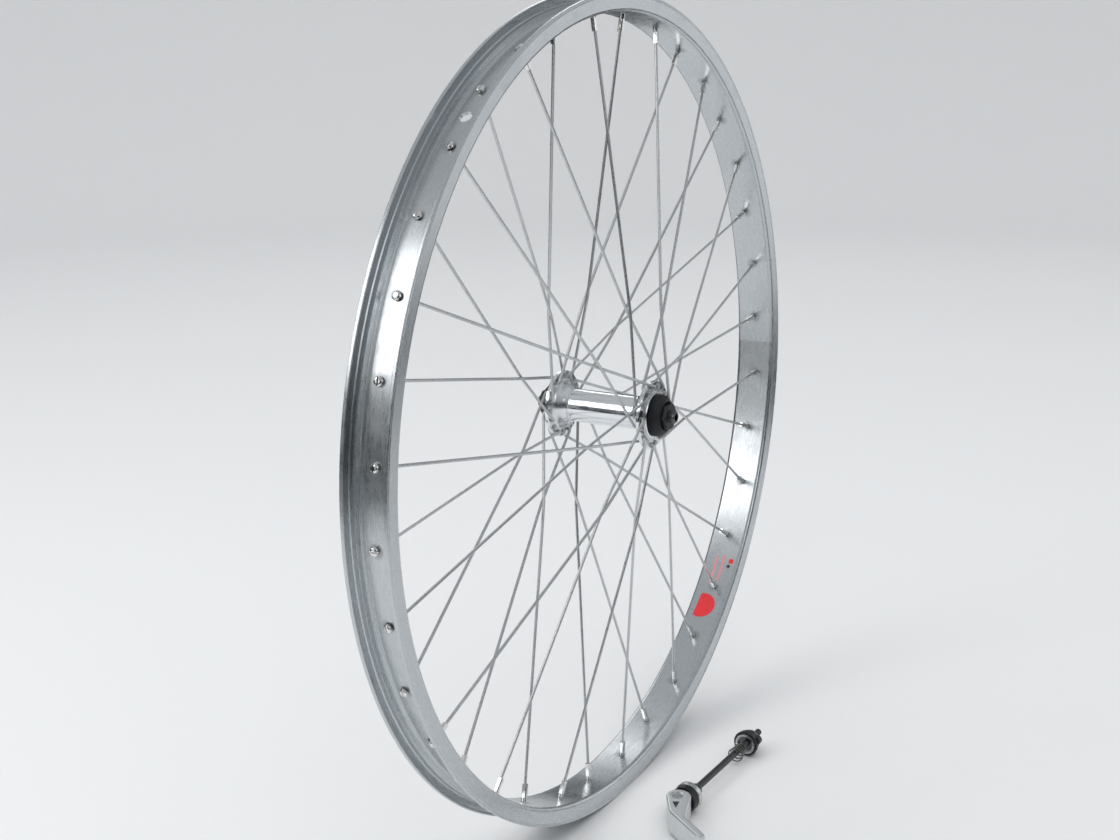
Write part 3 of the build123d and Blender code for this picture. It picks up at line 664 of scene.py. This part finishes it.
def film(name, outline, material):
    """A thin film on the rim's inner face, from a closed outline of (way round from the seam, y)."""
    top_radius = RIM_INNER_RADIUS - 0.15 * MM
    foot_radius = RIM_INNER_RADIUS + 0.02 * MM
    nudge = 0.001      # keeps the first and last stations just inside the outline
    start = min(along for along, _ in outline)
    length = max(along for along, _ in outline) - start
    columns = max(6, int(length / (0.5 * MM)))
    rows = 6
    stride = rows + 1
    points = []
    for column in range(columns + 1):
        along = start + length * (column + nudge) / (columns + 2 * nudge)
        angle = SEAM_ANGLE + along / RIM_INNER_RADIUS
        cuts = sorted(crossings(outline, along))
        for row in range(rows + 1):
            y = cuts[0] + (cuts[-1] - cuts[0]) * row / rows
            points.append((top_radius * cos(angle), y, top_radius * sin(angle)))
    faces = []
    for column in range(columns):
        for row in range(rows):
            corner = column * stride + row
            faces.append((corner, corner + 1, corner + stride + 1, corner + stride))
    # the film's edge goes down into the rim all round
    ring = [column * stride for column in range(columns + 1)]
    ring += [columns * stride + row for row in range(1, stride)]
    ring += [column * stride + rows for column in range(columns - 1, -1, -1)]
    ring += list(range(rows - 1, 0, -1))
    base = len(points)
    deeper = foot_radius / top_radius
    for index in ring:
        x, y, z = points[index]
        points.append((x * deeper, y, z * deeper))
    for k in range(len(ring)):
        n = (k + 1) % len(ring)
        faces.append((ring[k], ring[n], base + n, base + k))
    piece = make_piece(name, points, faces, material, "wheel")
    sharpen(piece, 40.0)
    return piece


def crossings(outline, along):
    """Where a closed outline crosses one station along the rim."""
    found = []
    for (a0, y0), (a1, y1) in zip(outline, outline[1:] + outline[:1]):
        if (a0 > along) != (a1 > along):
            found.append(y0 + (y1 - y0) * (along - a0) / (a1 - a0))
    return found


def oval(along, across, half_length, half_width, lowest=-pi, highest=pi, steps=40):
    """Points round an oval on the rim's face, in metres, from sizes in millimetres."""
    turns = [lowest + (highest - lowest) * k / steps for k in range(steps)]
    return [((along + half_length * cos(t)) * MM, (across + half_width * sin(t)) * MM) for t in turns]


def strip(start, end, across, width):
    """A straight bar's corners on the rim's face, in metres, from sizes in millimetres."""
    half = width / 2
    corners = ((start, across - half), (end, across - half), (end, across + half), (start, across + half))
    return [(along * MM, y * MM) for along, y in corners]


def rim_label():
    """Plain coloured patches where a maker's sticker sits, with no lettering.

    Places are in millimetres: the way round from the seam, then y.
    """
    red = label_ink("label_red", (0.70, 0.012, 0.022))
    rose = label_ink("label_rose", (0.66, 0.25, 0.29), 0.4)
    black = label_ink("label_black", (0.015, 0.016, 0.018), 0.4)
    blue = label_ink("label_blue_grey", (0.27, 0.33, 0.38), 0.4)
    cut = radians(26.5)
    film("rim_label_patch", oval(5.3, 4.1, 11.3, 11.0, -pi - cut, cut), red)
    film("rim_label_bar_1", strip(26.0, 51.0, 4.3, 2.0), rose)
    film("rim_label_bar_2", strip(30.0, 53.0, -1.7, 2.0), rose)
    film("rim_label_square", strip(46.6, 50.6, -8.6, 3.8), red)
    film("rim_label_dot", oval(43.8, -7.4, 1.5, 1.5), black)
    film("rim_label_line", strip(-2.0, 41.0, -10.2, 1.3), blue)


def turned_ring(name, profile, axis_point, axis, material, body, count=64):
    """A ring turned about an axis from a closed (along, radius) profile."""
    axis, side, other = directions(axis)
    points, faces, size = [], [], len(profile)
    for k in range(count):
        turn = 2 * pi * k / count
        way = side * cos(turn) + other * sin(turn)
        points += [Vector(axis_point) + axis * along + way * radius for along, radius in profile]
    for k in range(count):
        a, b = k * size, (k + 1) % count * size
        faces += [(a + i, a + (i + 1) % size, b + (i + 1) % size, b + i) for i in range(size)]
    piece = make_piece(name, points, faces, material, body)
    sharpen(piece)
    return piece


def lever_enamel():
    """Dark enamel that fills the bottom of the triangular recess beside the lever's pin.

    The corners are in millimetres from the pin: along the lever's root, then outwards.
    """
    pin = Vector(JOINTS["lever_turn"]["pos_m"])
    root_way = radians(213.0) + ROD_YAW      # the lever's root, seen from its pin
    along = Vector((cos(root_way), sin(root_way), 0.0))
    outward = Vector((sin(root_way), -cos(root_way), 0.0))
    corners = ((9.3, 4.1), (9.6, -0.2), (16.9, 2.9))
    recess_depth, thickness, bevel, bevel_depth = 1.03 * MM, 0.45 * MM, 0.3 * MM, 0.12 * MM
    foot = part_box("cam_lever")[1].z - recess_depth
    flat = [pin + (along * a + outward * b) * MM for a, b in corners]
    middle = sum(flat, Vector()) / 3
    points = []
    for lift, inset in ((0.0, 0.0), (thickness - bevel_depth, 0.0), (thickness, bevel)):
        for point in flat:
            moved = point + (middle - point).normalized() * inset
            points.append((moved.x, moved.y, foot + lift))
    faces = [(2, 1, 0), (6, 7, 8)]
    for level in (0, 3):
        faces += [(level + k, level + (k + 1) % 3, level + 3 + (k + 1) % 3, level + 3 + k) for k in range(3)]
    enamel = label_ink("enamel_dark", (0.012, 0.013, 0.015), 0.35)
    sharpen(make_piece("lever_mark_enamel", points, faces, enamel, "lever"), 30.0)


def nut_ring():
    """The nylon ring that fills the nut's outer end round the rod, placed from the nut joint's point."""
    start, end = 12.2 * MM, 13.9 * MM
    inner, outer, bevel = 2.5 * MM, 4.03 * MM, 0.25 * MM
    profile = [
        (start, inner), (start, outer), (end - bevel, outer),
        (end, outer - bevel), (end, inner + bevel), (end - bevel, inner),
    ]
    turned_ring("nut_nylon_ring", profile, ROD_POINT, ROD_AXIS, nylon(), "nut_core")


# ---------------------------------------------------------------- the scene


make_camera()
SIDE_PANELS = make_lights()
make_world()
keep_off(SIDE_PANELS, make_floor())
MATERIALS = make_materials()
dress_nodes(MATERIALS)
axle_threads(MATERIALS)
rim_label()
lever_enamel()
nut_ring()
